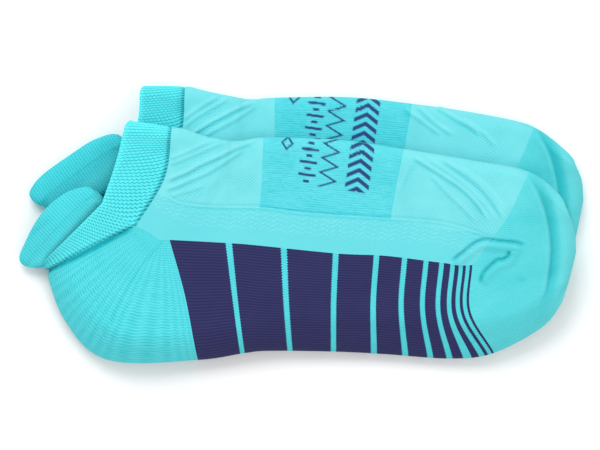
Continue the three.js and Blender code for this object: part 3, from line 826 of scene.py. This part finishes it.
# ------------------------------------------------------------------ the pieces of one sock
def cuff_shape(sock, uu, vv, outer):
    """Ribs, the rolled rim at the mouth and the puckered end where the cuff meets the panels, with their
    painted shade and highlights.
    """
    place = respread(vv, FOLD_SHARE, FOLD_KNIT) * CUFF_WIDTH + cuff_shear(uu, vv)
    ribs = np.cos(2 * math.pi * place / CUFF_PITCH)
    rim = ridge(uu, 0.07)
    pucker = ridge(uu - 0.97, 0.055)
    height = 0.08 * ribs * (1 - rim) + 0.35 * rim - 0.9 * pucker
    upper = 1 - smooth((share_of(vv) - 0.42) / 0.15)
    # Painted shade in the gaps of the puckered end and a painted highlight on the rolled rim; towards the
    # end, painted highlights on the ribs and painted shade between them.
    shade = pucker * upper * (0.42 - 0.25 * ribs) - 0.35 * rim
    shade = shade - 0.12 * smooth((uu - 0.75) / 0.1) * ribs * upper
    return height, shade


def cuff_dots(sock, uu, vv, xy):
    """1 where the gaps between the cuff's ribs break up into rows of holes."""
    if sock["name"] == "bottom":
        return 1 - smooth((uu - 0.74) / 0.1)
    return (0.75 + 0.25 * smooth((share_of(vv) - 0.1) / 0.3)) * (1 - 0.7 * smooth((uu - 0.82) / 0.1))


def cuff_mouth(uu, vv):
    """The mouth's corners at the instep and heel folds are rounded."""
    corner = ridge(share_of(vv), 0.025) + 0.6 * ridge(1 - share_of(vv), 0.03)
    return uu + 0.08 * corner * (1 - uu) ** 4


def cuff_shear(uu, vv):
    """The cuff's ribs rise towards the instep on the way from the mouth, less and less towards the heel."""
    share = share_of(vv)
    lean = (0.25 + 0.75 * smooth(share / 0.16)) * (1 - smooth((share - 0.35) / 0.45))
    return 9.0 * uu * lean * np.where(np.mod(vv, 2) > 1, -1, 1)


def across(v0, v1, width, step):
    """Places round the sock about step mm apart, closer over the folds."""
    count = max(2, int(round((v1 - v0) * width / step)))
    v = np.linspace(v0, v1, count + 1)
    extra = [fold + FOLD_SHARE * t for fold in (-1, 0, 1, 2) for t in np.linspace(-1, 1, FOLD_STEPS)]
    extra = [t for t in extra if v0 + 1e-3 < t < v1 - 1e-3]
    v = np.sort(np.concatenate([v, extra]))
    v = v[np.concatenate([[True], np.diff(v) > 1e-3])]
    v[-1] = v1
    return v


def toe_stations(sock, u0, step):
    """Stations to the toe fold, closer where the end is rounded."""
    straight = stations(sock, u0, TOE_FOLD - TOE_ROUNDING, step)
    rounds = TOE_FOLD - TOE_ROUNDING + TOE_ROUNDING * np.sin(np.linspace(0, math.pi / 2, TOE_STEPS)[1:])
    return np.concatenate([straight, rounds])


def symmetric(v, middle):
    """The same places on both sides of a fold, so that the toe end can be joined."""
    upper = v[v >= middle - 1e-9] - middle
    upper[0] = 0
    return np.concatenate([middle - upper[::-1], middle + upper[1:]])


def plain_strip(sock, uu, vv, xy):
    """1 where the side panel turns plain, in the strip beside the sole and under the cuff's end."""
    p = local_xy(sock, xy)
    d, _ = line_distance(WELT_LINE, p)
    heel = smooth((-44 - p[..., 0]) / 14)
    return np.clip(smooth((-d - 8.5 + 2.5 * heel) / 2.0) + smooth((d + 1.2) / 1.0), 0, 1)


def toe_knit_lean(uu, vv):
    """The toe's wales lean as they near the fold."""
    return 5.0 * (uu - TOE_LINE) ** 2 * np.where(np.mod(vv, 2) > 1, -1, 1)


TOOTH = 0.18                   # mm that a stitch stands out at the end of a navy block
MESH_WALL, PANEL_WALL, CUFF_WALL, TOE_WALL, HEEL_WALL, SEAM_WALL, NAVY_WALL, RIB_WALL = (
    1.7, 1.9, 2.0, 2.4, 2.6, 3.0, 3.0, 3.2)


def build_sock(sock):
    """The knitted zones of one sock, from the cuff to the toe, and then its tab."""
    name = sock["name"]

    def piece(short, u, v, wall, material, node=None, slot=None, width=FOOT_WIDTH, **more):
        return grid_piece(f"{name}_{short}_knit", sock, u, v, wall, width, [f"{name}_{node or short}"], slot,
                          MATERIALS[material], **more)

    steps = CUFF_RIBS * CUFF_STEPS
    ring = respread(np.arange(steps) / steps * 2, FOLD_KNIT, FOLD_SHARE)
    piece("cuff", stations(sock, 0, CUFF_END, 0.5, 0.25), ring, CUFF_WALL, "cuff", slot="cuff_rib",
          width=CUFF_WIDTH, ring=True, extra=cuff_shape, shear=cuff_shear, edge=cuff_mouth,
          patterns={"dots": cuff_dots})

    panel = across(-PANEL_LINE, PANEL_LINE, FOOT_WIDTH, 0.6)
    piece("ankle_mesh", stations(sock, CUFF_END, ARCH_START, 0.45, 0.1), panel, MESH_WALL, "mesh",
          slot="open_mesh")
    for side, v0, v1 in (("upper", PANEL_LINE, SOLE_LINE), ("lower", 2 - SOLE_LINE, 2 - PANEL_LINE)):
        strip = across(v0, v1, FOOT_WIDTH, 0.6)
        piece(f"ankle_side_{side}", stations(sock, CUFF_END, SOLE_START, 0.6, 0.4), strip, MESH_WALL, "vent",
              node="ankle_mesh", slot="open_mesh", patterns={"plain": plain_strip})
        piece(f"side_vent_{side}", stations(sock, SOLE_START, TOE_LINE, 0.8), strip, PANEL_WALL, "vent",
              slot="wavy_vent", patterns={"plain": plain_strip})

    fine_panel = across(-PANEL_LINE, PANEL_LINE, FOOT_WIDTH, 0.4)
    piece("arch_band", stations(sock, ARCH_START, ARCH_END, 0.4), fine_panel, PANEL_WALL, "band",
          slot="arch_rib", patterns={"mark": marks})
    piece("forefoot_mesh", stations(sock, ARCH_END, TOE_LINE, 0.6), panel, MESH_WALL, "mesh",
          slot="open_mesh")
    heel = across(SOLE_LINE, 2 - SOLE_LINE, FOOT_WIDTH, 0.8)
    for part, u0, u1 in (("back", CUFF_END, GORE), ("base", GORE, SOLE_START)):
        piece(f"heel_{part}", stations(sock, u0, u1, 0.7, 0.8), heel, HEEL_WALL, "heel", slot="heel_terry")

    trail_u = np.linspace(SOLE_START, TOE_LINE, 601)
    trail = line_length(flat_point(sock, trail_u, SOLE_LINE))
    drawn = sum(NAVY_WIDTHS) + sum(RIB_WIDTHS)

    def station_at(distance):
        return np.interp(distance / drawn * trail[-1], trail, trail_u)

    half_wales = int(round((2 - 2 * SOLE_LINE) * FOOT_WIDTH / (WALE / 2)))
    sole = respread(np.linspace(SOLE_LINE, 2 - SOLE_LINE, half_wales + 1), FOLD_KNIT, FOLD_SHARE)
    sawtooth = np.where(np.arange(len(sole)) % 2 == 0, TOOTH, -TOOTH) * (TOE_LINE - SOLE_START) / drawn

    def toothed(uu, vv):
        inside = (uu > SOLE_START + 1e-6) & (uu < TOE_LINE - 1e-6)
        return uu + np.where(inside, sawtooth[None, :], 0)
    distance = 0.0
    for number, width in enumerate(NAVY_WIDTHS, 1):
        u = np.linspace(station_at(distance), station_at(distance + width), max(2, int(width / 0.9)) + 1)
        piece(f"sole_navy_{number:02d}", u, sole, NAVY_WALL, "navy", slot="navy_terry", edge=toothed)
        distance += width
        if number < len(NAVY_WIDTHS):
            rib = RIB_WIDTHS[number - 1]
            u = np.linspace(station_at(distance), station_at(distance + rib), 4)
            piece(f"sole_rib_{number:02d}", u, sole, RIB_WALL, "heel", node="sole_ground",
                  slot="heel_terry", edge=toothed)
            distance += rib

    seam_end = TOE_LINE + SEAM_STATIONS
    upper_toe = across(-SOLE_LINE, SOLE_LINE, FOOT_WIDTH, 0.55)
    lower_toe = across(SOLE_LINE, 2 - SOLE_LINE, FOOT_WIDTH, 0.55)
    piece("toe_seam", np.linspace(TOE_LINE, seam_end, 4), across(-SOLE_LINE, SOLE_LINE, FOOT_WIDTH, 0.7),
          SEAM_WALL, "seam", slot="linked_seam")
    piece("toe_top", toe_stations(sock, seam_end, 0.55), symmetric(upper_toe, 0), TOE_WALL, "toe",
          slot="toe_terry", toe=True, shear=toe_knit_lean)
    piece("toe_base", toe_stations(sock, TOE_LINE, 0.55), symmetric(lower_toe, 1), TOE_WALL, "toe",
          slot="toe_terry", toe=True)
    build_tab(sock)


TAB_POINTS, TAB_LEVELS = 200, 28


def build_tab(sock):
    """The padded heel tab: a soft lobe from inside the cuff out to its rim, lower and thinner towards its
    crease.
    """
    name = sock["name"]
    lobe = closed_curve(sock["tab_lobe"], TAB_POINTS)
    (a0, o0), (a1, o1) = sock["tab_spine"]
    t = np.clip((lobe[:, 0] - a0) / (a1 - a0), 0, 1)
    spine = np.column_stack([a0 + (a1 - a0) * t, o0 + (o1 - o0) * t])
    inward = smooth((spine[:, 1] - lobe[:, 1]) / 6.0)
    points, knit, fold_shade = [], [], []
    for level in range(2 * TAB_LEVELS - 1):
        turn = -math.pi / 2 + math.pi * level / (2 * TAB_LEVELS - 2)
        rim = max(math.cos(turn), 0.0)
        size = np.maximum(rim ** 0.55 * (1 - inward) + rim ** 0.95 * inward, 0.004)[:, None]
        at = spine + (lobe - spine) * size
        xy = tab_point(sock, at[:, 0], at[:, 1])
        tucked = inward * size[:, 0]
        z = FLAT_HEIGHT / 2 + TAB_THICKNESS / 2 * math.sin(turn) * (1 - 0.3 * tucked) - 0.8 * tucked**2
        z = z + drape(sock, xy)
        points.append(np.column_stack([xy, z]))
        knit.append(np.column_stack([at[:, 1], at[:, 0]]))
        # The tab's upper side gets painted shade along its inner edge by the cuff and a painted highlight on
        # the band beside it; the sock's tone is painted shade over all of it.
        shade = 0.45 * smooth((tucked - 0.84) / 0.14) - 0.3 * ridge(tucked - 0.55, 0.25)
        fold_shade.append(sock["tone"] + shade * (turn > 0))
    points, knit, fold_shade = np.concatenate(points), np.concatenate(knit), np.concatenate(fold_shade)
    points[:, :2] -= SHIFT
    k = np.arange(TAB_POINTS)
    after = (k + 1) % TAB_POINTS
    strip = np.column_stack([k, after, after + TAB_POINTS, k + TAB_POINTS])
    faces = [strip + level * TAB_POINTS for level in range(2 * TAB_LEVELS - 2)]
    piece = finish_piece(f"{name}_heel_tab_pad", points, np.concatenate(faces), knit, {"fold": fold_shade},
                         [f"{name}_heel_tab", f"{name}_heel_tab_root"], MATERIALS["tab"])
    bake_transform(piece)


for sock in SOCKS.values():
    build_sock(sock)

# ------------------------------------------------------------------ floor, light and camera
FLOOR_REACH = 3.0
corners = [(-FLOOR_REACH, -FLOOR_REACH, 0), (FLOOR_REACH, -FLOOR_REACH, 0), (FLOOR_REACH, FLOOR_REACH, 0),
           (-FLOOR_REACH, FLOOR_REACH, 0)]
floor_mesh = bpy.data.meshes.new("floor")
floor_mesh.from_pydata(corners, [], [(0, 1, 2, 3)])
floor = bpy.data.objects.new("floor", floor_mesh)
bpy.context.scene.collection.objects.link(floor)
floor_look = Nodes("WhitePaper")
floor_look.shader.inputs["Base Color"].default_value = (0.97, 0.97, 0.97, 1)
floor_look.shader.inputs["Roughness"].default_value = 0.9
floor_look.shader.inputs["Specular IOR Level"].default_value = 0.1
floor_mesh.materials.append(floor_look.material)

world = bpy.data.worlds.new("studio")
world.use_nodes = True
world.node_tree.nodes["Background"].inputs[0].default_value = (1, 1, 1, 1)
world.node_tree.nodes["Background"].inputs[1].default_value = 0.70
bpy.context.scene.world = world


def softbox(name, place, size, watts):
    light = bpy.data.lights.new(name, "AREA")
    light.shape = "RECTANGLE"
    light.size, light.size_y = size
    light.energy = watts
    lamp = bpy.data.objects.new(name, light)
    lamp.location = place
    lamp.rotation_euler = (-Vector(place)).to_track_quat("-Z", "Y").to_euler()
    bpy.context.scene.collection.objects.link(lamp)


softbox("key", (-0.25, 0.75, 1.1), (0.8, 0.6), 9.5)
softbox("fill", (0.6, -0.4, 1.2), (1.0, 1.0), 3.7)

VIEW_WIDTH = 264.0 * MM
CAMERA_HEIGHT = 1.6
MIDDLE_HEIGHT = 0.012
SENSOR = 36
camera_data = bpy.data.cameras.new("camera")
camera_data.sensor_width = SENSOR
camera_data.lens = SENSOR * (CAMERA_HEIGHT - MIDDLE_HEIGHT) / VIEW_WIDTH
camera = bpy.data.objects.new("camera", camera_data)
camera.location = (-SHIFT[0] * MM, -SHIFT[1] * MM, CAMERA_HEIGHT)
bpy.context.scene.collection.objects.link(camera)
bpy.context.scene.camera = camera
bpy.context.scene.view_settings.view_transform = "Standard"
bpy.context.scene.view_settings.look = "None"
